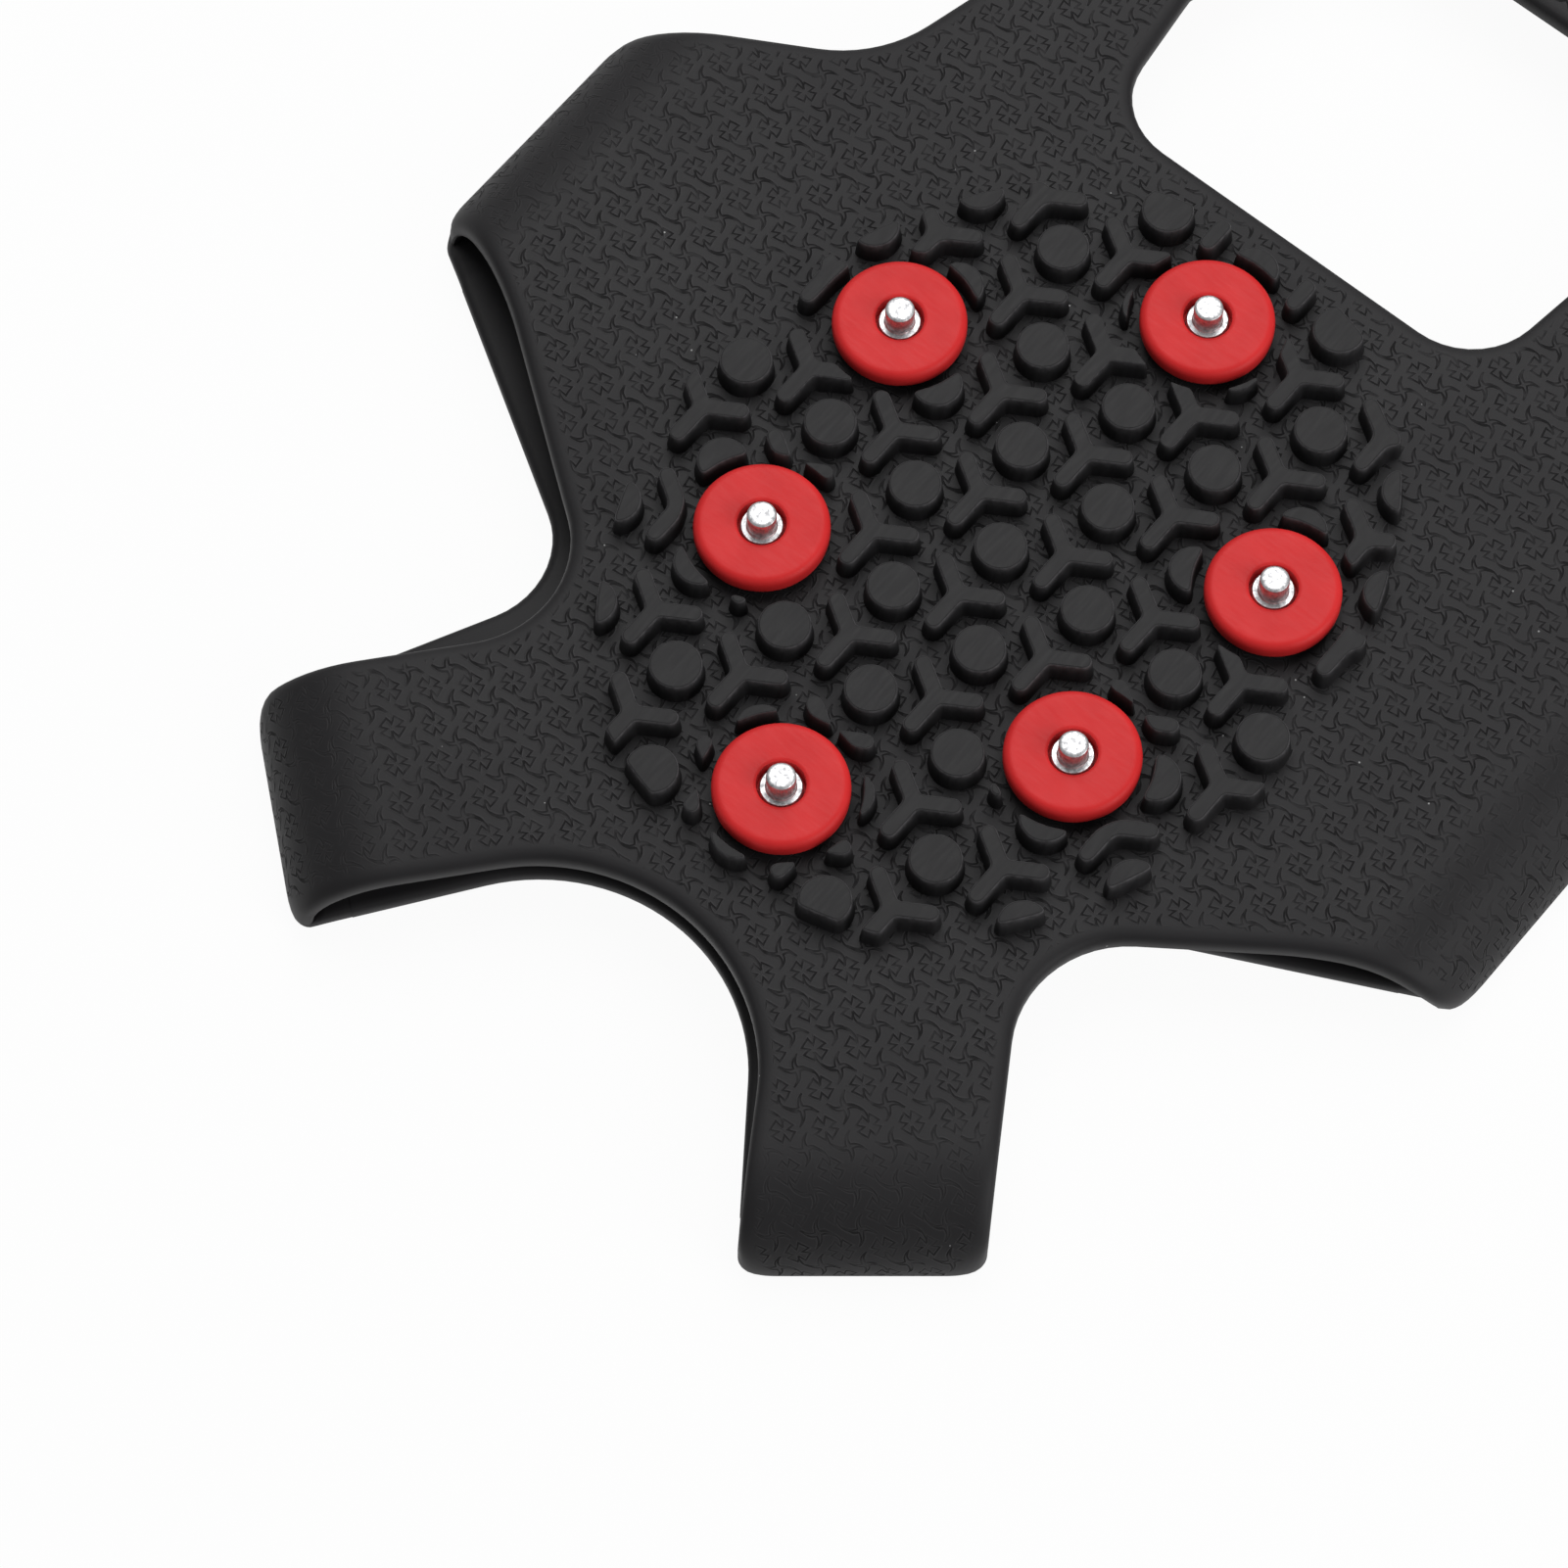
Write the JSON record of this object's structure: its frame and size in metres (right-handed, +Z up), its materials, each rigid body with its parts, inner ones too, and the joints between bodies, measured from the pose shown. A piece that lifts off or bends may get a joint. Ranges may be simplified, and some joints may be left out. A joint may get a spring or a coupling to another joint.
{
  "type": "slip-on ice cleat",
  "caption": "Stretchy rubber overshoe sole with folded lugs, a block tread and turning red discs that hold steel ice points, lying tread up.",
  "frame": {"origin": "on the floor under the middle of the outline, with the cleat lying tread up on its upper band", "axes": "X across the sole, +Y from the toe towards the heel, +Z up out of the tread"},
  "size_m": [0.1352, 0.213, 0.015],
  "materials": {
    "rubber": "moulded, finely embossed, satin",
    "red_plastic": "moulded, satin gloss",
    "steel": "turned, bright"
  },
  "bodies": {
    "forefoot": {"sole_fore": "rubber", "tread_fore": "rubber", "lug_front_left": "rubber", "lug_front_right": "rubber", "lug_side_left": "rubber", "lug_side_right": "rubber", "band_toe": "rubber", "band_left_fore": "rubber", "band_right_fore": "rubber"},
    "heel_half": {"sole_heel": "rubber", "tread_heel": "rubber", "lug_heel_left": "rubber", "lug_heel_right": "rubber", "band_left_heel": "rubber", "band_right_heel": "rubber", "band_heel": "rubber", "pull_tab": "rubber"},
    "stud_1": {"stud_disc_1": "red_plastic", "stud_pin_1": "steel"},
    "stud_2": {"stud_disc_2": "red_plastic", "stud_pin_2": "steel"},
    "stud_3": {"stud_disc_3": "red_plastic", "stud_pin_3": "steel"},
    "stud_4": {"stud_disc_4": "red_plastic", "stud_pin_4": "steel"},
    "stud_5": {"stud_disc_5": "red_plastic", "stud_pin_5": "steel"},
    "stud_6": {"stud_disc_6": "red_plastic", "stud_pin_6": "steel"},
    "stud_7": {"stud_disc_7": "red_plastic", "stud_pin_7": "steel"},
    "stud_8": {"stud_disc_8": "red_plastic", "stud_pin_8": "steel"},
    "stud_9": {"stud_disc_9": "red_plastic", "stud_pin_9": "steel"},
    "stud_10": {"stud_disc_10": "red_plastic", "stud_pin_10": "steel"}
  },
  "joints": [
    {"name": "arch_fold", "type": "hinge", "parent": "forefoot", "child": "heel_half", "pos_m": [0.0033, 0.03325, 0.0087], "axis": [1, 0, 0], "range_deg": [0, 120], "stiffness_Nm_per_rad": 0.01},
    {"name": "stud_1_spin", "type": "hinge", "parent": "forefoot", "child": "stud_1", "pos_m": [0.0033, -0.0678, 0.01], "axis": [0, 0, 1], "continuous": true},
    {"name": "stud_2_spin", "type": "hinge", "parent": "forefoot", "child": "stud_2", "pos_m": [-0.0165, -0.0469, 0.01], "axis": [0, 0, 1], "continuous": true},
    {"name": "stud_3_spin", "type": "hinge", "parent": "forefoot", "child": "stud_3", "pos_m": [0.0231, -0.0469, 0.01], "axis": [0, 0, 1], "continuous": true},
    {"name": "stud_4_spin", "type": "hinge", "parent": "forefoot", "child": "stud_4", "pos_m": [-0.0206, -0.0201, 0.01], "axis": [0, 0, 1], "continuous": true},
    {"name": "stud_5_spin", "type": "hinge", "parent": "forefoot", "child": "stud_5", "pos_m": [0.0272, -0.0201, 0.01], "axis": [0, 0, 1], "continuous": true},
    {"name": "stud_6_spin", "type": "hinge", "parent": "forefoot", "child": "stud_6", "pos_m": [0.0033, -0.0001, 0.01], "axis": [0, 0, 1], "continuous": true},
    {"name": "stud_7_spin", "type": "hinge", "parent": "heel_half", "child": "stud_7", "pos_m": [-0.0102, 0.064, 0.01], "axis": [0, 0, 1], "continuous": true},
    {"name": "stud_8_spin", "type": "hinge", "parent": "heel_half", "child": "stud_8", "pos_m": [0.0168, 0.064, 0.01], "axis": [0, 0, 1], "continuous": true},
    {"name": "stud_9_spin", "type": "hinge", "parent": "heel_half", "child": "stud_9", "pos_m": [-0.0102, 0.08, 0.01], "axis": [0, 0, 1], "continuous": true},
    {"name": "stud_10_spin", "type": "hinge", "parent": "heel_half", "child": "stud_10", "pos_m": [0.0168, 0.08, 0.01], "axis": [0, 0, 1], "continuous": true}
  ]
}
